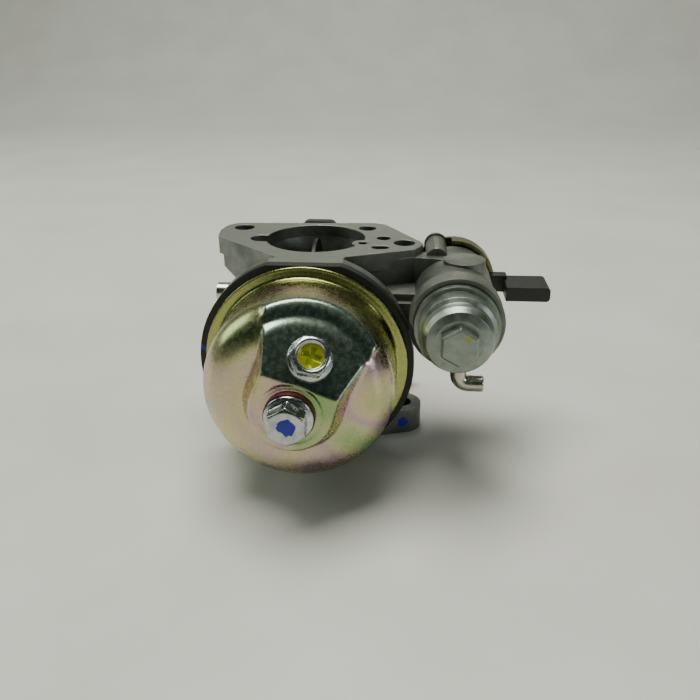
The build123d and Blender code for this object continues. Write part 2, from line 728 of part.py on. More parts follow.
with BuildPart() as fuel_strainer:
    strainer_top = cock_rim_drop - 8.5
    turned_down(
        [
            (cup_thread_r - 3.2, strainer_top),
            (cup_thread_r, strainer_top),
            (cup_thread_r, strainer_top + 3.6),
            (cup_thread_r - 1.2, strainer_top + 3.6),
            (cup_thread_r - 1.2, strainer_top + 1.2),
            (cup_thread_r - 3.2, strainer_top + 1.2),
        ],
        cock_x,
        cock_z,
    )
    rod_down(cock_x, cock_z, cup_thread_r - 3.0, strainer_top + 0.3, strainer_top + 0.9)
fuel_strainer.part.label = "fuel_strainer"
export_step(fuel_strainer.part, "parts/fuel_strainer.step")

with BuildPart() as fuel_nipple:
    with BuildLine() as nipple_route:
        run_in = Line(
            (nipple_x, -nipple_drop, cock_z - cock_barrel_r + 4.8),
            (nipple_x, -nipple_drop, nipple_z + nipple_bend_r),
        )
        ThreePointArc(
            (nipple_x, -nipple_drop, nipple_z + nipple_bend_r),
            (
                nipple_x + nipple_bend_r * (1 - math.cos(math.radians(45))),
                -nipple_drop,
                nipple_z + nipple_bend_r * (1 - math.sin(math.radians(45))),
            ),
            (nipple_x + nipple_bend_r, -nipple_drop, nipple_z),
        )
        Line(
            (nipple_x + nipple_bend_r, -nipple_drop, nipple_z), (nipple_end_x, -nipple_drop, nipple_z)
        )
    with BuildSketch(Plane(origin=run_in @ 0, z_dir=(0, 0, -1))) as tube_wall:
        Circle(nipple_r)
        Circle(nipple_bore_r, mode=Mode.SUBTRACT)
    sweep(tube_wall.sketch, path=nipple_route.wires()[0])
    mouth_edges = fuel_nipple.faces().filter_by(Axis.X).sort_by(Axis.X)[-1].edges()
    fillet(mouth_edges.sort_by(SortBy.RADIUS)[-1], 0.6)
fuel_nipple.part.label = "fuel_nipple"
export_step(fuel_nipple.part, "parts/fuel_nipple.step")

# ================= fuel valve =================
with BuildPart() as valve_packing:
    rod_down(cock_x, cock_z, packing_r - 0.1, packing_pocket - packing_t, packing_pocket)
    for dx in (-4, 2):
        rod_down(cock_x + dx, cock_z, 1.5, -2, 4, Mode.SUBTRACT)
valve_packing.part.label = "valve_packing"
export_step(valve_packing.part, "parts/valve_packing.step")

lever_low = packing_t - packing_pocket + 0.05
with BuildPart() as fuel_lever:
    rod_down(cock_x, cock_z, lever_disc_r, -lever_low - lever_disc_t, -lever_low)
    with Locations((cock_x + 11.5, lever_low + lever_disc_t / 2, cock_z)):
        Box(13.0, lever_disc_t, 5.6)
    with Locations((cock_x + 24.2, lever_low + lever_disc_t - 6.3, cock_z - 0.7)):
        Box(14.0, 12.6, 4.6)
    fillet(fuel_lever.edges().filter_by(Axis.Y).group_by(Axis.X)[-1], 1.2)
    # Groove on the underside that joins the two passages of the packing
    with Locations((cock_x - 1, lever_low, cock_z)):
        Box(9.0, 1.6, 2.4, mode=Mode.SUBTRACT)
fuel_lever.part.label = "fuel_lever"
export_step(fuel_lever.part, "parts/fuel_lever.step")

with BuildPart() as lever_spring:
    spring_low = lever_low + lever_disc_t + 0.05
    rod_down(cock_x, cock_z, 7.6, -spring_low - wave_spring_t, -spring_low)
    rod_down(cock_x, cock_z, 5.6, -spring_low - wave_spring_t - 1, -spring_low + 1, Mode.SUBTRACT)
lever_spring.part.label = "lever_spring"
export_step(lever_spring.part, "parts/lever_spring.step")

with BuildPart() as lever_plate:
    rod_down(cock_x, cock_z, plate_r, -plate_level - plate_t, -plate_level)
    for screw_x, screw_z in plate_screws:
        rod_down(screw_x, screw_z, plate_boss_r + 0.5, -plate_level - plate_t, -plate_level)
    with BuildSketch(drop_plane(cock_x, cock_z, -plate_level)) as skirt:
        with BuildLine():
            CenterArc((0, 0), plate_r, 16, 76)
            Line(polar(plate_r, 92), polar(plate_r - plate_t, 92))
            CenterArc((0, 0), plate_r - plate_t, 16, 76)
            Line(polar(plate_r, 16), polar(plate_r - plate_t, 16))
        make_face()
    extrude(skirt.sketch, amount=4.4)
    for screw_x, screw_z in plate_screws:
        rod_down(screw_x, screw_z, m3_r + 0.2, -plate_level - 3, 0, Mode.SUBTRACT)
lever_plate.part.label = "lever_plate"
export_step(lever_plate.part, "parts/lever_plate.step")

with BuildPart() as lever_plate_screws:
    for screw_x, screw_z in plate_screws:
        rod_down(screw_x, screw_z, m3_r - 0.02, -plate_level - plate_t, 2)
        rod_down(screw_x, screw_z, m3_head_r, -plate_level - plate_t - 1.8, -plate_level - plate_t)
        with Locations((screw_x, plate_level + plate_t + 1.5, screw_z)):
            Box(3.4, 1.2, 0.8, mode=Mode.SUBTRACT)
            Box(0.8, 1.2, 3.4, mode=Mode.SUBTRACT)
lever_plate_screws.part.label = "lever_plate_screws"
export_step(lever_plate_screws.part, "parts/lever_plate_screws.step")

# ================= throttle =================
with BuildPart() as throttle_shaft:
    rod_down(0, throttle_z, throttle_shaft_r, -throttle_layer - lever_t - 2.2, shaft_foot_drop)
    with Locations((0, 0, throttle_z)):
        Box(4 * throttle_shaft_r, 2 * (throttle_bore_r - disc_gap), disc_t, mode=Mode.SUBTRACT)
    for y in (-5, 5):
        rod_along((0, y, throttle_z - 5), (0, 0, 1), m3_r, 10, Mode.SUBTRACT)
throttle_shaft.part.label = "throttle_shaft"
export_step(throttle_shaft.part, "parts/throttle_shaft.step")

with BuildPart() as throttle_valve:
    with BuildSketch(Plane.XY.offset(throttle_z - disc_t / 2)) as throttle_disc:
        Circle(throttle_bore_r - disc_gap)
        with Locations((0, -5), (0, 5)):
            Circle(m3_r, mode=Mode.SUBTRACT)
    extrude(throttle_disc.sketch, amount=disc_t)
throttle_valve.part.label = "throttle_valve"
export_step(throttle_valve.part, "parts/throttle_valve.step")

with BuildPart() as throttle_valve_screws:
    for y in (-5, 5):
        rod_along((0, y, throttle_z - throttle_shaft_r), (0, 0, 1), m3_r - 0.02, 2 * throttle_shaft_r)
        rod_along((0, y, throttle_z + throttle_shaft_r), (0, 0, 1), m3_head_r, 1.6)
        with Locations((0, y, throttle_z + throttle_shaft_r + 1.4)):
            Box(3.2, 0.7, 1.0, mode=Mode.SUBTRACT)
            Box(0.7, 3.2, 1.0, mode=Mode.SUBTRACT)
throttle_valve_screws.part.label = "throttle_valve_screws"
export_step(throttle_valve_screws.part, "parts/throttle_valve_screws.step")

with BuildPart() as throttle_seal:
    rod_down(0, throttle_z, 4.7, -throttle_boss_top, -throttle_boss_top + 2.4)
    rod_down(
        0, throttle_z, throttle_shaft_r + running_gap, -throttle_boss_top - 1,
        -throttle_boss_top + 4, Mode.SUBTRACT,
    )
throttle_seal.part.label = "throttle_seal"
export_step(throttle_seal.part, "parts/throttle_seal.step")

arm_x = throttle_arm * math.cos(math.radians(throttle_arm_dip))
arm_z = -throttle_arm * math.sin(math.radians(throttle_arm_dip))
with BuildPart() as throttle_lever:
    with BuildSketch(drop_plane(0, throttle_z, -throttle_layer - lever_t)) as long_arm:
        Circle(5.6)
        with Locations((arm_x, arm_z)):
            Circle(4.0)
        make_hull()
    extrude(long_arm.sketch, amount=lever_t)
    with BuildSketch(drop_plane(0, throttle_z, -throttle_layer - lever_t)) as idle_tail:
        Circle(4.6)
        with Locations((idle_x - 1.0, 0)):
            Circle(3.0)
        make_hull()
    extrude(idle_tail.sketch, amount=lever_t)
    rod_down(0, throttle_z, 6.6, -throttle_layer - lever_t - 2.0, -throttle_layer + 1.6)
    # Holes for the governor rod and its spring
    rod_down(arm_x, throttle_z + arm_z, 1.3, -40, 0, Mode.SUBTRACT)
    rod_down(arm_x * 0.72, throttle_z + arm_z * 0.72, 1.0, -40, 0, Mode.SUBTRACT)
    rod_down(0, throttle_z, throttle_shaft_r, -40, 0, Mode.SUBTRACT)
throttle_lever.part.label = "throttle_lever"
export_step(throttle_lever.part, "parts/throttle_lever.step")

# ================= choke =================
with BuildPart() as choke_shaft:
    rod_down(0, choke_z, choke_shaft_r, -choke_layer - lever_t - 1.2, shaft_foot_drop)
    with Locations((0, 0, choke_z)):
        Box(disc_t, 2 * (choke_bore_r - disc_gap), 4 * choke_shaft_r, mode=Mode.SUBTRACT)
    for y in (-5, 5):
        rod_along((-5, y, choke_z), (1, 0, 0), m3_r, 10, Mode.SUBTRACT)
choke_shaft.part.label = "choke_shaft"
export_step(choke_shaft.part, "parts/choke_shaft.step")

with BuildPart() as choke_valve:
    with BuildSketch(Plane.YZ.offset(-disc_t / 2)) as choke_disc:
        with Locations((0, choke_z)):
            Circle(choke_bore_r - disc_gap)
        with Locations((-5, choke_z), (5, choke_z)):
            Circle(m3_r, mode=Mode.SUBTRACT)
        with Locations((0, choke_z - 8.5)):
            Circle(2.4, mode=Mode.SUBTRACT)
    extrude(choke_disc.sketch, amount=disc_t)
choke_valve.part.label = "choke_valve"
export_step(choke_valve.part, "parts/choke_valve.step")

with BuildPart() as choke_valve_screws:
    for y in (-5, 5):
        rod_along((-choke_shaft_r, y, choke_z), (1, 0, 0), m3_r - 0.02, 2 * choke_shaft_r)
        rod_along((choke_shaft_r, y, choke_z), (1, 0, 0), m3_head_r, 1.6)
        with Locations((choke_shaft_r + 1.4, y, choke_z)):
            Box(1.0, 3.2, 0.7, mode=Mode.SUBTRACT)
            Box(1.0, 0.7, 3.2, mode=Mode.SUBTRACT)
choke_valve_screws.part.label = "choke_valve_screws"
export_step(choke_valve_screws.part, "parts/choke_valve_screws.step")

with BuildPart() as choke_seal:
    rod_down(0, choke_z, 4.2, -choke_boss_top, -choke_boss_top + 2.2)
    rod_down(
        0, choke_z, choke_shaft_r + running_gap, -choke_boss_top - 1,
        -choke_boss_top + 4, Mode.SUBTRACT,
    )
choke_seal.part.label = "choke_seal"
export_step(choke_seal.part, "parts/choke_seal.step")

with BuildPart() as choke_lever:
    with BuildSketch(drop_plane(0, choke_z, -choke_layer - lever_t)) as choke_arm:
        Circle(6.0)
        with Locations((-6.4, 10.4), (1.2, 10.4)):
            Circle(2.6)
        make_hull()
    extrude(choke_arm.sketch, amount=lever_t)
    rod_down(0, choke_z, 5.6, -choke_layer - lever_t - 1.0, -choke_layer + 1.8)
    rod_down(0, choke_z, choke_shaft_r, -50, 0, Mode.SUBTRACT)
    rod_down(-2.6, choke_z + 9.6, 1.2, -50, 0, Mode.SUBTRACT)
choke_lever.part.label = "choke_lever"
export_step(choke_lever.part, "parts/choke_lever.step")

# ================= adjusting screws, pilot jet and plug =================
idle_head_z = 36.0
with BuildPart() as idle_screw:
    rod_along((idle_x, idle_y, idle_tip_z), (0, 0, 1), m4_r, idle_head_z - idle_tip_z)
    rod_along((idle_x, idle_y, idle_head_z), (0, 0, 1), 3.6, 4.0)
    with Locations((idle_x, idle_y, idle_head_z + 3.6)):
        Box(8.0, 1.0, 1.6, mode=Mode.SUBTRACT)
idle_screw.part.label = "idle_screw"
export_step(idle_screw.part, "parts/idle_screw.step")

with BuildPart() as idle_screw_spring:
    spring_coil(
        (idle_x, idle_y, idle_lug_high + spring_wire_r), (0, 0, 1), 2.75,
        idle_head_z - idle_lug_high - 2 * spring_wire_r, 4,
    )
idle_screw_spring.part.label = "idle_screw_spring"
export_step(idle_screw_spring.part, "parts/idle_screw_spring.step")

pilot_head_x = pilot_face_x - 2.0
with BuildPart() as pilot_screw:
    rod_along((pilot_head_x, pilot_y, pilot_z), (1, 0, 0), m4_r, 12.0)
    rod_along((pilot_head_x, pilot_y, pilot_z), (-1, 0, 0), 3.2, 5.6)
    with Locations((pilot_head_x - 5.4, pilot_y, pilot_z)):
        Box(1.6, 1.0, 8.0, mode=Mode.SUBTRACT)
pilot_screw.part.label = "pilot_screw"
export_step(pilot_screw.part, "parts/pilot_screw.step")

with BuildPart() as pilot_screw_spring:
    spring_coil(
        (pilot_head_x + spring_wire_r, pilot_y, pilot_z), (1, 0, 0), 2.75,
        6.0 - 2 * spring_wire_r, 4,
    )
pilot_screw_spring.part.label = "pilot_screw_spring"
export_step(pilot_screw_spring.part, "parts/pilot_screw_spring.step")

with BuildPart() as pilot_jet:
    turned_down(
        [
            (0, -pilot_jet_seat - 3.6),
            (3.6, -pilot_jet_seat - 3.6),
            (3.6, -pilot_jet_seat),
            (2.9, -pilot_jet_seat),
            (2.9, -18.6),
            (2.0, -18.6),
            (2.0, -16.6),
            (1.9, -16.6),
            (1.9, -14.0),
            (0, -14.0),
        ],
        pilot_jet_x,
        pilot_jet_z,
    )
    with Locations((pilot_jet_x, pilot_jet_seat + 3.4, pilot_jet_z)):
        Box(8.0, 1.4, 1.0, mode=Mode.SUBTRACT)
pilot_jet.part.label = "pilot_jet"
export_step(pilot_jet.part, "parts/pilot_jet.step")

with BuildPart() as pilot_jet_o_ring:
    turned_down(
        [(2.05, -18.5), (2.95, -18.5), (2.95, -16.8), (2.05, -16.8)], pilot_jet_x, pilot_jet_z
    )
pilot_jet_o_ring.part.label = "pilot_jet_o_ring"
export_step(pilot_jet_o_ring.part, "parts/pilot_jet_o_ring.step")

with BuildPart() as passage_plug:
    rod_down(plug_x, plug_z, 2.5, -plug_y - 0.4, -plug_y + 2.6)
passage_plug.part.label = "passage_plug"
export_step(passage_plug.part, "parts/passage_plug.step")
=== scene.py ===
import json
import math

import bpy
import numpy as np
from mathutils import Matrix, Vector


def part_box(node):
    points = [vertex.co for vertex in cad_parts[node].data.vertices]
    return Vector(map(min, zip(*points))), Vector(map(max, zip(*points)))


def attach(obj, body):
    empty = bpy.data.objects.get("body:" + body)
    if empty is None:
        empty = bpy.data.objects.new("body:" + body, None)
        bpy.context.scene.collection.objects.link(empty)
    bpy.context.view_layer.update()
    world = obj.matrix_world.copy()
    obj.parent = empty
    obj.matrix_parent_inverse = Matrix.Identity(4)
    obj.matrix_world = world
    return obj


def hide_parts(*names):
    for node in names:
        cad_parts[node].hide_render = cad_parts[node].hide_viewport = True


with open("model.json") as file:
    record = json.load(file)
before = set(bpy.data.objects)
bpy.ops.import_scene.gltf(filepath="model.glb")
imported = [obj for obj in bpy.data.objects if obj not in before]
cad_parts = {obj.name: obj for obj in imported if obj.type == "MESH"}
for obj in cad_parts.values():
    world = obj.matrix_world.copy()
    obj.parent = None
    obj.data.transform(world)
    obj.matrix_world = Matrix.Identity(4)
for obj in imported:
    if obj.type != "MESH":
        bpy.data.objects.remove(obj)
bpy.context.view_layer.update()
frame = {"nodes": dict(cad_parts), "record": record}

mm = 0.001  # all the dictionaries below are in millimetres and degrees
slotOf = {part["node"]: part["material_slot"] for part in frame["record"]["subparts"]}


def linear(hexColour):
    # sRGB byte to linear light: c / 12.92 when small, otherwise ((c + 0.055) / 1.055) to the power 2.4
    shares = [int(hexColour[i:i + 2], 16) / 255 for i in (1, 3, 5)]
    return [c / 12.92 if c <= 0.04045 else ((c + 0.055) / 1.055) ** 2.4 for c in shares] + [1.0]


def addNode(tree, kind, settings={}, inputs={}):
    # one node with its settings; an input that is a socket is linked, any other is a fixed value
    node = tree.nodes.new(kind)
    for name, value in settings.items():
        if name == "stops":
            ramp = node.color_ramp
            while len(ramp.elements) < len(value):
                ramp.elements.new(0.5)
            for element, (place, colour) in zip(ramp.elements, value):
                element.position = place
                element.color = linear(colour)
        else:
            setattr(node, name, value)
    for name, value in inputs.items():
        if isinstance(value, bpy.types.NodeSocket):
            tree.links.new(value, node.inputs[name])
        else:
            node.inputs[name].default_value = value
    return node


def startMaterial(name, fixed):
    # a new material whose Principled shader has these fixed values
    material = bpy.data.materials.new(name)
    material.use_nodes = True
    tree = material.node_tree
    shader = next(n for n in tree.nodes if n.type == "BSDF_PRINCIPLED")
    for socket, value in fixed.items():
        shader.inputs[socket].default_value = value
    return material, tree, shader


def objectPoint(tree):
    return addNode(tree, "ShaderNodeTexCoord").outputs["Object"]


def mottle(tree, sizeMm, low, high, detail=3.0, stretch=(1, 1, 1)):
    # cloudy noise with blotches of that size, spread between low and high
    placed = addNode(tree, "ShaderNodeMapping", {}, {"Vector": objectPoint(tree), "Scale": stretch})
    cloud = addNode(tree, "ShaderNodeTexNoise", {}, {
        "Vector": placed.outputs[0], "Scale": 1 / (sizeMm * mm), "Detail": detail, "Roughness": 0.55})
    return addNode(tree, "ShaderNodeMapRange", {}, {
        "Value": cloud.outputs[0], "From Min": 0.3, "From Max": 0.7, "To Min": low, "To Max": high}).outputs[0]


def skinBump(tree, shader, sizeMm, depthMm, edgeMm=0.35, stretch=(1, 1, 1)):
    # a fine grain over softly broken edges
    edge = addNode(tree, "ShaderNodeBevel", {"samples": 6}, {"Radius": edgeMm * mm})
    grain = mottle(tree, sizeMm, 0.0, 1.0, 2.0, stretch)
    bump = addNode(tree, "ShaderNodeBump", {}, {
        "Height": grain, "Distance": depthMm * mm, "Strength": 1.0, "Normal": edge.outputs[0]})
    tree.links.new(bump.outputs[0], shader.inputs["Normal"])


def dabMask(tree, spot, radius, ragged=0.35):
    # 1 inside a ragged round dab of paint at a point, 0 outside it
    away = addNode(tree, "ShaderNodeVectorMath", {"operation": "DISTANCE"}, {
        0: objectPoint(tree), 1: [c * mm for c in spot]}).outputs["Value"]
    wobble = mottle(tree, radius * 0.9, -ragged * radius * mm, ragged * radius * mm, 2.0)
    edge = addNode(tree, "ShaderNodeMath", {"operation": "ADD"}, {0: away, 1: wobble}).outputs[0]
    return addNode(tree, "ShaderNodeMapRange", {}, {
        "Value": edge, "From Min": radius * mm, "From Max": radius * 0.88 * mm}).outputs[0]


def layOver(tree, look, mask, colour, metallic, roughness):
    # lays a second finish over the first one where the mask is 1
    look["Base Color"] = addNode(tree, "ShaderNodeMix", {"data_type": "RGBA"}, {
        0: mask, 6: look["Base Color"], 7: colour}).outputs[2]
    for socket, value in (("Metallic", metallic), ("Roughness", roughness)):
        look[socket] = addNode(tree, "ShaderNodeMix", {"data_type": "FLOAT"}, {
            0: mask, 2: look[socket], 3: value}).outputs[0]


def finishLook(tree, shader, look):
    for socket, value in look.items():
        if isinstance(value, bpy.types.NodeSocket):
            tree.links.new(value, shader.inputs[socket])
        else:
            shader.inputs[socket].default_value = value


paintYellow = linear("#A7B012")
paintBlue = linear("#0A17A8")

# Die-cast aluminium, blasted: a dull grey skin with a fine grain, brighter where the top face is milled
castLook = {
    "skinDark": "#666A63", "skinLight": "#8C9087", "milled": "#A4A8A0", "grain": 0.45,
    "rim": "#1F201D", "rimDrop": (26.4, 27.2), "rimReach": 36.0,
    # painted shade for the deep corners: its colour, the ambient-occlusion reach and its greatest share
    "paintedShade": "#23251F", "paintedShadeReach": 9.0, "paintedShadeShare": 0.75,
    "blue": [((-33.0, -27.5, 38.0), 3.0), ((-32.8, -26.5, 33.5), 2.6), ((29.6, -10.0, 4.2), 2.4)],
}


def dieCastAluminium():
    material, tree, shader = startMaterial("dieCastAluminium", {"Metallic": 0.9, "Roughness": 0.45})
    patches = mottle(tree, 9.0, 0.0, 1.0, 4.0)
    skin = addNode(tree, "ShaderNodeMix", {"data_type": "RGBA"}, {
        0: patches, 6: linear(castLook["skinDark"]), 7: linear(castLook["skinLight"])}).outputs[2]
    look = {"Base Color": skin, "Metallic": 0.9, "Roughness": mottle(tree, 3.0, 0.38, 0.55)}
    height = addNode(tree, "ShaderNodeSeparateXYZ", {}, {0: objectPoint(tree)}).outputs["Z"]
    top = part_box("carburetor_body")[1][2]
    milled = addNode(tree, "ShaderNodeMapRange", {}, {
        "Value": height, "From Min": top - 0.12 * mm, "From Max": top - 0.04 * mm}).outputs[0]
    layOver(tree, look, milled, linear(castLook["milled"]), 1.0, mottle(tree, 1.2, 0.26, 0.36, 2.0, (1, 6, 1)))
    # painted shade: ambient occlusion darkens the deep corners, and the lower edge of the bowl rim turns nearly
    # black
    # painted shade, nearly black, laid where ambient occlusion finds the corners deep
    shade = addNode(tree, "ShaderNodeAmbientOcclusion", {"samples": 8}, {"Distance": castLook["paintedShadeReach"] * mm})
    paintedCornerShade = addNode(tree, "ShaderNodeMapRange", {}, {
        "Value": shade.outputs["AO"], "From Min": 0.75, "From Max": 0.2,
        "To Max": castLook["paintedShadeShare"]}).outputs[0]
    layOver(tree, look, paintedCornerShade, linear(castLook["paintedShade"]), 0.4, 0.6)
    # past the bowl rim's lower edge, and within rimReach of the bowl's axis, the body turns nearly black
    level = addNode(tree, "ShaderNodeSeparateXYZ", {}, {0: objectPoint(tree)}).outputs["Y"]
    below = addNode(tree, "ShaderNodeMapRange", {}, {
        "Value": level, "From Min": -castLook["rimDrop"][0] * mm,
        "From Max": -castLook["rimDrop"][1] * mm}).outputs[0]
    axisDistance = addNode(tree, "ShaderNodeVectorMath", {"operation": "DISTANCE"}, {
        0: addNode(tree, "ShaderNodeVectorMath", {"operation": "MULTIPLY"}, {
            0: objectPoint(tree), 1: (1, 0, 1)}).outputs[0],
        1: (bowlShape["axis"][0] * mm, 0, bowlShape["axis"][1] * mm)}).outputs["Value"]
    nearBowl = addNode(tree, "ShaderNodeMath", {"operation": "LESS_THAN"}, {
        0: axisDistance, 1: castLook["rimReach"] * mm}).outputs[0]
    rim = addNode(tree, "ShaderNodeMath", {"operation": "MULTIPLY"}, {0: below, 1: nearBowl}).outputs[0]
    layOver(tree, look, rim, linear(castLook["rim"]), 0.3, 0.45)
    for spot, radius in castLook["blue"]:
        layOver(tree, look, dabMask(tree, spot, radius), paintBlue, 0.0, 0.35)
    finishLook(tree, shader, look)
    skinBump(tree, shader, castLook["grain"], 0.035, 0.5)
    return material


# Drawn steel, zinc plated and yellow passivated: thin bands of pink, gold and green that drift over the sheet
bowlLook = {
    "tints": [(0.0, "#A9B07C"), (0.28, "#C3B98F"), (0.46, "#C2AFA0"), (0.6, "#B99DA0"), (0.76, "#B8B48C"),
              (1.0, "#8FA870")],
    "rough": (0.2, 0.32),
    # the facet's colour is a painted reflection of the dark room in front of it
    "flange": "#A3A866", "facet": "#8B9B8C",
    "yellow": [((-8.8, -61.0, 44.1), 1.1), ((-11.8, -60.0, 34.4), 1.2), ((15.5, -60.0, 40.3), 1.3)],
}


def yellowZinc(name, look):
    material, tree, shader = startMaterial(name, {"Metallic": 1.0, "Roughness": 0.25})
    drift = mottle(tree, 26.0, -0.1, 1.1, 1.5)
    tint = addNode(tree, "ShaderNodeValToRGB", {"stops": look["tints"]}, {0: drift}).outputs[0]
    point = addNode(tree, "ShaderNodeSeparateXYZ", {}, {0: objectPoint(tree)})
    seat = -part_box("float_bowl")[1][1]
    nearSeat = addNode(tree, "ShaderNodeMapRange", {}, {
        "Value": point.outputs["Y"], "From Min": -seat - 9 * mm, "From Max": -seat - 1.5 * mm}).outputs[0]
    tint = addNode(tree, "ShaderNodeMix", {"data_type": "RGBA"}, {
        0: nearSeat, 6: tint, 7: linear(look["flange"])}).outputs[2]
    # painted reflection: the sump's slanted facet takes a teal-grey tint
    facet = addNode(tree, "ShaderNodeAttribute", {"attribute_name": "onFacet"}).outputs["Fac"]
    tint = addNode(tree, "ShaderNodeMix", {"data_type": "RGBA"}, {
        0: facet, 6: tint, 7: linear(look["facet"])}).outputs[2]
    parts = {"Base Color": tint, "Metallic": 1.0, "Roughness": mottle(tree, 1.4, *look["rough"])}
    for spot, radius in look["yellow"]:
        layOver(tree, parts, dabMask(tree, spot, radius), paintYellow, 0.0, 0.4)
    finishLook(tree, shader, parts)
    skinBump(tree, shader, 0.5, 0.006, 0.2)
    return material


# Carbon steel, bright zinc plated and clear passivated: cold silver with faint handling scuffs
boltLook = {
    "light": "#C9CCC9", "dark": "#A3A8A5", "drainPaint": "#949C14", "drainPaintRadius": 3.75, "drainPaintLift": 4.1,
    "boltDabRadius": 2.5, "boltDabShift": (0.2, 0, 0.2),
}


def brightZinc(drainSpot, boltSpot):
    material, tree, shader = startMaterial("brightZincPlate", {"Metallic": 1.0, "Roughness": 0.22})
    tint = addNode(tree, "ShaderNodeMix", {"data_type": "RGBA"}, {
        0: mottle(tree, 2.5, 0.0, 1.0), 6: linear(boltLook["dark"]), 7: linear(boltLook["light"])}).outputs[2]
    parts = {"Base Color": tint, "Metallic": 1.0, "Roughness": mottle(tree, 0.8, 0.16, 0.3)}
    layOver(tree, parts, dabMask(tree, boltSpot, boltLook["boltDabRadius"], 0.28), paintBlue, 0.0, 0.35)
    dish = dabMask(tree, drainSpot, boltLook["drainPaintRadius"], 0.06)
    layOver(tree, parts, dish, linear(boltLook["drainPaint"]), 0.3, 0.2)
    finishLook(tree, shader, parts)
    skinBump(tree, shader, 0.4, 0.004, 0.15)
    return material


def plainFinish(name, colours, metallic, roughness, sizeMm=2.0, grainMm=0.4, depthMm=0.01, edgeMm=0.2, spots=()):
    # two close tones of one finish, in blotches of sizeMm, with a grain of grainMm
    material, tree, shader = startMaterial(name, {})
    tint = addNode(tree, "ShaderNodeMix", {"data_type": "RGBA"}, {
        0: mottle(tree, sizeMm, 0.0, 1.0), 6: linear(colours[0]), 7: linear(colours[1])}).outputs[2]
    parts = {"Base Color": tint, "Metallic": metallic, "Roughness": mottle(tree, sizeMm, *roughness)}
    for spot, radius, paint in spots:
        layOver(tree, parts, dabMask(tree, spot, radius), paint, 0.0, 0.4)
    finishLook(tree, shader, parts)
    skinBump(tree, shader, grainMm, depthMm, edgeMm)
    return material


def rideAs(piece, node, finish):
    # puts a finish on a new piece that stands for a CAD node, and lets it ride on the node's body
    piece.data.materials.append(finish)
    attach(piece, next(b for b, names in frame["record"]["behaviour"]["bodies"].items() if node in names))
    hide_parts(node)


def sheetMesh(name, points, closeRows=False, capEnds=False, sharp=35):
    # a mesh from a grid of points (rows, columns, 3) that closes round its columns; its ends may meet or be capped
    rows, columns = points.shape[:2]
    index = np.arange(rows * columns).reshape(rows, columns)
    if closeRows:
        index = np.vstack([index, index[:1]])
    nextColumn = np.roll(index, -1, axis=1)
    faces = np.stack([index[:-1], nextColumn[:-1], nextColumn[1:], index[1:]], axis=-1).reshape(-1, 4).tolist()
    vertices = points.reshape(-1, 3)
    if capEnds:
        first, last = len(vertices), len(vertices) + 1
        vertices = np.vstack([vertices, points[0].mean(axis=0), points[-1].mean(axis=0)])
        ring = np.arange(columns)
        faces += np.stack([np.roll(ring, -1), ring, np.full(columns, first)], axis=-1).tolist()
        ring = ring + (rows - 1) * columns
        faces += np.stack([ring, np.roll(ring, -1), np.full(columns, last)], axis=-1).tolist()
    mesh = bpy.data.meshes.new(name)
    mesh.from_pydata((vertices * mm).tolist(), [], faces)
    mesh.shade_smooth()
    mesh.set_sharp_from_angle(angle=math.radians(sharp))
    piece = bpy.data.objects.new(name, mesh)
    bpy.context.scene.collection.objects.link(piece)
    return piece


def smoothLeast(a, b, width):
    # the lower of two fields with a round of that width where they cross
    share = np.clip(0.5 + 0.5 * (b - a) / width, 0, 1)
    return b + (a - b) * share - width * share * (1 - share)


# ---- float bowl: a drawn pan with a raised sump that carries the two bolts ----
bowlLow, bowlHigh = (np.array(corner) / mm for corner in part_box("float_bowl"))
bowlShape = {
    "flangeRadius": (bowlHigh[0] - bowlLow[0]) / 2, "seatDrop": -bowlHigh[1], "padDrop": -bowlLow[1],
    "axis": ((bowlLow[0] + bowlHigh[0]) / 2, (bowlLow[2] + bowlHigh[2]) / 2),
    "sheet": 1.2, "wallRadius": 27.9, "ringDrop": 56.5, "ringCorner": 9.9, "boltHole": 3.2,
    "padRadius": 10.9, "padPinch": 0.5, "facetTurn": 20.0, "facetTilt": 40.0, "facetStart": 9.0, "facetFlare": 0.33,
    "endRadius": 23.7, "endDrop": 46.2, "endCrown": 0.016, "endSlope": 3.0, "blendLeast": 0.6, "blendShare": 0.46,
    "grooveRadius": 8.5, "grooveWidth": 0.5, "grooveDepth": 0.3, "padRound": 0.6, "endRound": 1.4, "facetEdge": 1.5,
    "footRound": 1.3, "lipRound": 0.3, "softenPasses": 8, "softenWallRows": 12, "softenFadeRows": 6,
    "columns": 420, "flatRows": 74, "cornerRows": 34, "wallRows": 24, "innerStep": 3,
}
turn, tilt = math.radians(bowlShape["facetTurn"]), math.radians(bowlShape["facetTilt"])
facetUphill = np.array([math.sin(turn), 0, math.cos(turn)])
facetAcross = np.array([math.cos(turn), 0, -math.sin(turn)])
facetNormal = np.array([math.sin(turn) * math.sin(tilt), -math.cos(tilt), math.cos(turn) * math.sin(tilt)])


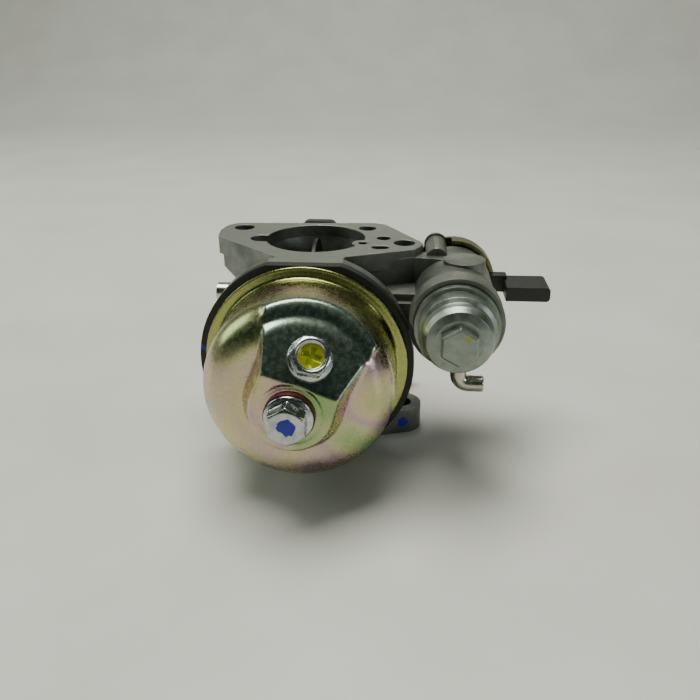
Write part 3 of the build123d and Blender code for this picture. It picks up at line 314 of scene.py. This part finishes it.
def bowlDrop(x, z, s):
    # the pan is a level ring with a round corner of radius q: drop = ring - q * (1 - sqrt(1 - t * t)), t running
    # 0 to 1 over the corner; the sump is a level pad, then a slanted plane, and at its far end the same kind of
    # round corner raised by a share of the distance across squared; a smooth step joins sump to pan outside it
    radius = np.hypot(x, z)
    along = x * facetUphill[0] + z * facetUphill[2]
    across = np.abs(x * facetAcross[0] + z * facetAcross[2])
    corner = s["ringCorner"]
    part = np.clip((radius - s["wallRadius"] + corner) / corner, 0, 1)
    ring = s["ringDrop"] - corner * (1 - np.sqrt(1 - part ** 2))
    groove = s["grooveDepth"] * np.exp(-((radius - s["grooveRadius"]) / s["grooveWidth"]) ** 2)
    plane = s["padDrop"] - math.tan(tilt) * (along - s["facetStart"])
    endCorner = s["wallRadius"] - s["endRadius"]
    endPart = np.clip((radius - s["endRadius"]) / endCorner, 0, 1)
    farEnd = (s["endDrop"] + endCorner * np.sqrt(1 - endPart ** 2) + s["endCrown"] * across ** 2
              + s["endSlope"] * np.maximum(s["endRadius"] - radius, 0))
    sump = smoothLeast(smoothLeast(s["padDrop"] - groove, plane, s["padRound"]), farEnd, s["endRound"])
    rise = np.maximum(along - s["facetStart"], 0) / math.cos(tilt)
    half = s["padRadius"] - s["padPinch"] * np.clip(along / s["facetStart"], 0, 1) + s["facetFlare"] * rise
    past = np.where(along < 0, radius, across) - half
    share = np.clip(past / (s["blendLeast"] + s["blendShare"] * np.abs(sump - ring)), 0, 1)
    blend = share ** 2 * (3 - 2 * share)
    onFacet = (1 - blend) * np.clip((along - s["facetStart"]) / s["facetEdge"] + 0.5, 0, 1)
    return sump + (ring - sump) * blend, onFacet


def soften(points, passes, fixedFrom, fadeRows):
    # each pass moves a point halfway to the mean of its four neighbours, less and less towards the held rows
    hold = np.clip((fixedFrom - np.arange(len(points))) / fadeRows, 0, 1)[:, None, None] * 0.5
    for _ in range(passes):
        rowMean = points.copy()
        rowMean[1:-1] = (points[2:] + points[:-2]) / 2
        columnMean = (np.roll(points, 1, axis=1) + np.roll(points, -1, axis=1)) / 2
        points = points + hold * ((rowMean + columnMean) / 2 - points)
    return points


def bowlSurface(s):
    # rows over the crown by radius, closer together towards the wall, then the wall, a fillet and the flange
    flat = s["wallRadius"] - s["ringCorner"]
    angle = np.linspace(0, math.pi / 2, s["cornerRows"])[1:]
    radius = np.append(np.linspace(s["boltHole"], flat, s["flatRows"]), flat + s["ringCorner"] * np.sin(angle))
    theta = np.linspace(0, 2 * math.pi, s["columns"], endpoint=False)
    crown, facetShare = bowlDrop(radius[:, None] * np.sin(theta), radius[:, None] * np.cos(theta), s)
    flangeDrop = s["seatDrop"] + s["sheet"]
    share = np.linspace(0, 1, s["wallRows"])[1:, None]
    wall = crown[-1:] + (flangeDrop + s["footRound"] - crown[-1:]) * share
    foot = np.linspace(0, math.pi / 2, 7)[1:]
    footDrop = np.append(flangeDrop + s["footRound"] * (1 - np.sin(foot)), [flangeDrop, flangeDrop])
    drop = np.vstack([crown, wall, np.repeat(footDrop[:, None], len(theta), axis=1)])
    radius = np.concatenate([radius, np.full(len(wall), s["wallRadius"]),
                             s["wallRadius"] + s["footRound"] * (1 - np.cos(foot)),
                             [s["flangeRadius"] - 1.2, s["flangeRadius"] - s["lipRound"]]])
    outer = np.stack([radius[:, None] * np.sin(theta), -drop, radius[:, None] * np.cos(theta)], axis=-1)
    fixedFrom = s["flatRows"] + s["cornerRows"] + s["softenWallRows"]
    outer = soften(outer, s["softenPasses"], fixedFrom, s["softenFadeRows"])
    outer[:, :, 1] = np.maximum(outer[:, :, 1], -s["padDrop"])
    # the inner face is the outer one moved in along its normal by the sheet's thickness
    downRows = np.gradient(outer, axis=0)
    roundColumns = (np.roll(outer, -1, axis=1) - np.roll(outer, 1, axis=1)) / 2
    normal = np.cross(roundColumns, downRows)
    normal /= np.linalg.norm(normal, axis=-1, keepdims=True)
    if normal[0, 0, 1] > 0:
        normal = -normal
    inner = (outer - normal * s["sheet"])[::-s["innerStep"]]
    inner = inner[np.linalg.norm(inner[:, 0, ::2], axis=-1) > s["boltHole"] + 0.2]
    # level rings: the flange's rounded lip after the outer face, and the bolt hole after the inner one
    lip, insideDrop = s["flangeRadius"], s["padDrop"] - s["sheet"]
    edge = [(lip - 0.08, flangeDrop - 0.12), (lip, flangeDrop - 0.4),
            (lip, s["seatDrop"] + s["lipRound"]), (lip - 0.25, s["seatDrop"])]
    hole = [(s["boltHole"] + 0.3, insideDrop), (s["boltHole"], insideDrop)]
    edge, hole = (np.array([[r * np.sin(theta), np.full(len(theta), -d), r * np.cos(theta)] for r, d in rings])
                  .transpose(0, 2, 1) for rings in (edge, hole))
    points = np.concatenate([outer, edge, inner, hole])
    onFacet = np.zeros(points.shape[:2])
    onFacet[:len(facetShare)] = facetShare
    return points + np.array([s["axis"][0], 0, s["axis"][1]]), onFacet


def turnedHead(name, s, origin, out, across):
    # rows of (height, cap radius, least radius): each point lies at the hexagon's edge, held under the cap and over
    # the least, and a cross is sunk into the top rows where one is asked for
    up = np.cross(out, across)
    theta = np.linspace(0, 2 * math.pi, s["columns"], endpoint=False)
    fold = (theta - math.radians(s["turn"]) + math.pi / 6) % (math.pi / 3) - math.pi / 6
    hexagon = s["acrossFlats"] / 2 / np.cos(fold)
    height, cap, least = (np.array(column, float)[:, None] for column in zip(*s["rows"]))
    radius = np.maximum(smoothLeast(np.broadcast_to(hexagon, (len(height), len(theta))), cap, 0.12), least)
    x, y = radius * np.cos(theta), radius * np.sin(theta)
    lift = np.broadcast_to(height, radius.shape)
    if s.get("crossWidth"):
        arms = np.minimum(np.abs(x), np.abs(y)) - s["crossWidth"] / 2
        reach = np.hypot(x, y) - s["crossReach"]
        inside = np.clip(-np.maximum(arms, reach) / 0.35 + 0.5, 0, 1)
        isTop = np.arange(len(height))[:, None] >= s["topRow"]
        lift = lift - s["crossDepth"] * inside * isTop
    points = np.array(origin) + lift[..., None] * out + x[..., None] * across + y[..., None] * up
    return sheetMesh(name, points, capEnds=True, sharp=50)


# rows run from the shank's end to the middle of the head's face
mainHead = {
    "acrossFlats": 10.0, "columns": 180, "turn": 0.0,
    "rows": [(-13.4, 2.4, 0), (-13.4, 2.4, 0), (-12.9, 2.95, 0), (-12.9, 2.95, 0), (0, 2.95, 0), (0, 2.95, 0),
             (0, 6.5, 6.5), (0.1, 6.8, 6.8), (0.75, 6.8, 6.8), (1.0, 6.6, 6.6), (1.15, 6.2, 6.2), (1.35, 5.9, 5.75),
             (1.6, 5.8, 5.3), (2.0, 5.9, 0), (4.3, 6.0, 0), (4.8, 6.1, 0), (5.02, 5.75, 0), (5.2, 5.45, 0),
             (5.35, 5.2, 0), (5.5, 4.95, 0), (5.62, 4.72, 0), (5.68, 4.5, 0), (5.7, 4.2, 0), (5.7, 2.5, 0),
             (5.7, 0.8, 0)],
}
drainHead = {
    "acrossFlats": 10.0, "columns": 180, "turn": 40.0,
    "crossWidth": 1.5, "crossReach": 2.7, "crossDepth": 0.7, "topRow": 24,
    "rows": [(-5.9, 2.4, 0), (-5.9, 2.4, 0), (-5.5, 2.95, 0), (-5.5, 2.95, 0), (0, 2.95, 0), (0, 2.95, 0),
             (0, 5.9, 5.9), (0.1, 6.2, 6.2), (0.55, 6.2, 6.2), (0.75, 6.0, 6.0),
             (0.9, 5.8, 5.8), (1.1, 5.85, 5.5), (1.4, 5.9, 5.1), (1.8, 5.9, 0),
             (3.3, 6.0, 0), (3.8, 6.1, 0), (4.0, 5.75, 0), (4.2, 5.45, 0), (4.38, 5.1, 0), (4.52, 4.8, 0),
             (4.6, 4.5, 0), (4.6, 4.25, 0), (4.45, 4.0, 0), (4.1, 3.8, 0), (3.85, 3.5, 0)]
            + [(3.8 - 0.02 * i, 3.4 - 0.2 * i, 0) for i in range(16)],
}

# ---- finishes ----
axisX, axisZ = bowlShape["axis"]
down = np.array([0.0, -1.0, 0.0])
washerTop = -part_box("bowl_bolt_washer")[0][1] / mm
drainPlace = {"rise": 8.0, "washer": 1.0}
facetRun = np.array([math.sin(turn) * math.cos(tilt), math.sin(tilt), math.cos(turn) * math.cos(tilt)])
drainSeat = (np.array([axisX, -bowlShape["padDrop"], axisZ]) + facetUphill * bowlShape["facetStart"]
             + facetRun * drainPlace["rise"] + facetNormal * drainPlace["washer"])
boltFace = np.array([axisX, -washerTop, axisZ]) + down * mainHead["rows"][-1][0]

castFinish = dieCastAluminium()
bowlFinish = yellowZinc("yellowPassivatedZinc", bowlLook)
boltFinish = brightZinc(
    drainSeat + facetNormal * boltLook["drainPaintLift"], boltFace + np.array(boltLook["boltDabShift"]))
cupFinish = plainFinish("satinZincCasting", ("#7F877E", "#9CA49A"), 0.95, (0.34, 0.46), 3.0, 0.5, 0.012, 0.3,
                        [((56.4, -38.8, 51.6), 1.1, paintYellow), ((47.4, -53.4, 54.2), 0.9, paintYellow)])
finishes = {
    "cast_body": castFinish,
    "rubber_seal": plainFinish("nitrileRubber", ("#0E0F0F", "#1A1B1B"), 0.0, (0.5, 0.65)),
    "bowl_steel": bowlFinish,
    "zinc_bolt": boltFinish,
    "fibre_washer": plainFinish("vulcanisedFibre", ("#4B1A14", "#6A2A20"), 0.0, (0.5, 0.7), 1.5),
    "soft_washer": plainFinish("softAluminium", ("#9EA3A0", "#B4B8B5"), 1.0, (0.3, 0.45)),
    "brass_part": plainFinish("turnedBrass", ("#9C7A34", "#B8964A"), 1.0, (0.25, 0.4)),
    "needle_alloy": plainFinish("turnedAluminium", ("#A7ABA9", "#BDC1BE"), 1.0, (0.25, 0.4)),
    "steel_part": plainFinish("plainCarbonSteel", ("#8B8E8C", "#A4A7A5"), 1.0, (0.28, 0.42)),
    "float_plastic": plainFinish("mouldedFoamNylon", ("#1A1A1C", "#262628"), 0.0, (0.5, 0.7)),
    "cup_casting": cupFinish,
    "dark_steel": plainFinish("blackenedSteel", ("#141413", "#22221F"), 0.6, (0.4, 0.55)),
    "strainer_plastic": plainFinish("mouldedNylonGauze", ("#B9BBB0", "#CDCFC4"), 0.0, (0.45, 0.6)),
    "nipple_steel": plainFinish("nickelPlatedSteel", ("#B9B3A2", "#D0CBBC"), 1.0, (0.18, 0.3)),
    "black_plastic": plainFinish(
        "glassFilledNylon", ("#0C0C0D", "#151516"), 0.0, (0.32, 0.45), 1.0, 0.35, 0.012, 0.35),
    "plate_steel": plainFinish("yellowPressedSteel", ("#6B6A45", "#8C8A5C"), 1.0, (0.25, 0.38)),
}
for node, piece in frame["nodes"].items():
    piece.data.materials.clear()
    piece.data.materials.append(finishes[slotOf[node]])
print("finishes:", len(finishes), "on", len(frame["nodes"]), "nodes")

bowlPoints, onFacet = bowlSurface(bowlShape)
bowl = sheetMesh("floatBowl", bowlPoints, closeRows=True, sharp=60)
bowl.data.attributes.new("onFacet", "FLOAT", "POINT").data.foreach_set("value", onFacet.ravel())
rideAs(bowl, "float_bowl", bowlFinish)
mainBolt = turnedHead("bowlBolt", mainHead, (axisX, -washerTop, axisZ), down, np.array([1.0, 0, 0]))
rideAs(mainBolt, "bowl_bolt", boltFinish)
drainBolt = turnedHead("drainBolt", drainHead, drainSeat, facetNormal, facetAcross)
rideAs(drainBolt, "drain_bolt", boltFinish)
print("bowl and bolts:", [len(o.data.polygons) for o in (bowl, mainBolt, drainBolt)])

# ---- floor, light and camera ----
stageShape = {"halfWidth": 1.6, "front": -0.9, "back": 0.75, "curve": 0.45, "height": 1.6, "rows": 48}


def sweptFloor(s):
    # a flat floor that turns up through a quarter circle into a wall
    flat = np.array([[s["front"], 0.0], [s["back"], 0.0]])
    bend = np.linspace(0, math.pi / 2, s["rows"])
    curve = np.stack([s["back"] + s["curve"] * np.sin(bend), s["curve"] * (1 - np.cos(bend))], axis=-1)
    line = np.vstack([flat[:1], curve, [[s["back"] + s["curve"], s["height"]]]])
    left = np.insert(line, 0, -s["halfWidth"], axis=1)
    right = np.insert(line, 0, s["halfWidth"], axis=1)
    rows = len(line)
    faces = [(i, i + rows, i + rows + 1, i + 1) for i in range(rows - 1)]
    mesh = bpy.data.meshes.new("floor")
    mesh.from_pydata(np.vstack([left, right]).tolist(), [], faces)
    mesh.shade_smooth()
    floor = bpy.data.objects.new("floor", mesh)
    bpy.context.scene.collection.objects.link(floor)
    return floor


floor = sweptFloor(stageShape)
floor.data.materials.append(
    plainFinish("paleLaminate", ("#CBCBC4", "#D3D3CC"), 0.0, (0.38, 0.5), 60.0, 2.0, 0.02, 0.2))

lamps = [
    {"name": "ceilingPanel", "at": (-0.1, 0.12, 1.1), "to": (0, 0, 0), "size": (0.8, 0.6), "watts": 17.0,
     "colour": "#FFFDF6"},
    {"name": "rightWindow", "at": (0.9, -0.45, 0.35), "to": (0, 0, 0.03), "size": (0.25, 0.35), "watts": 1.6,
     "colour": "#F4FBFF"},
    {"name": "leftFill", "at": (-0.9, 0.2, 0.5), "to": (0, 0, 0.03), "size": (0.5, 0.5), "watts": 2.2,
     "colour": "#F4FFF8"},
]
for lamp in lamps:
    light = bpy.data.lights.new(lamp["name"], "AREA")
    light.shape = "RECTANGLE"
    light.size, light.size_y = lamp["size"]
    light.energy = lamp["watts"]
    light.color = linear(lamp["colour"])[:3]
    holder = bpy.data.objects.new(lamp["name"], light)
    holder.location = lamp["at"]
    holder.rotation_euler = (Vector(lamp["to"]) - Vector(lamp["at"])).to_track_quat("-Z", "Y").to_euler()
    bpy.context.scene.collection.objects.link(holder)

roomLook = {
    "strength": 0.7,
    "glow": [(0.0, "#7D857E"), (0.22, "#46524B"), (0.5, "#2C3933"), (0.8, "#33403A"), (0.95, "#A3AAA2")],
}
room = bpy.data.worlds.new("room")
room.use_nodes = True
bpy.context.scene.world = room
background = next(n for n in room.node_tree.nodes if n.type == "BACKGROUND")
# the room is dark from a little above the floor's far edge up to the ceiling panel overhead
towards = addNode(room.node_tree, "ShaderNodeTexCoord").outputs["Generated"]
upwards = addNode(room.node_tree, "ShaderNodeSeparateXYZ", {}, {0: towards}).outputs["Z"]
glow = addNode(room.node_tree, "ShaderNodeValToRGB", {"stops": roomLook["glow"]}, {0: upwards}).outputs[0]
room.node_tree.links.new(glow, background.inputs["Color"])
background.inputs["Strength"].default_value = roomLook["strength"]

cameraSetup = {
    "at": (31.14, -235.11, 132.08), "yaw": 4.887, "pitch": 24.228, "roll": -0.416, "lens": 37.857, "sensor": 36.0,
}


def placeCamera(s):
    # looks along yaw about +Z, then down by pitch, then rolls about its own axis
    yaw, pitch, roll = (math.radians(s[k]) for k in ("yaw", "pitch", "roll"))
    ahead = Vector((-math.sin(yaw) * math.cos(pitch), math.cos(yaw) * math.cos(pitch), -math.sin(pitch)))
    right = Vector((math.cos(yaw), math.sin(yaw), 0))
    up = right.cross(ahead)
    side = right * math.cos(roll) + up * math.sin(roll)
    top = up * math.cos(roll) - right * math.sin(roll)
    camera = bpy.data.objects.new("camera", bpy.data.cameras.new("camera"))
    camera.data.lens = s["lens"]
    camera.data.sensor_width = s["sensor"]
    camera.data.clip_start = 0.01
    turned = Matrix((side, top, -ahead)).transposed().to_4x4()
    camera.matrix_world = Matrix.Translation(Vector(s["at"]) * mm) @ turned
    bpy.context.scene.collection.objects.link(camera)
    bpy.context.scene.camera = camera


placeCamera(cameraSetup)
print("stage and camera set")
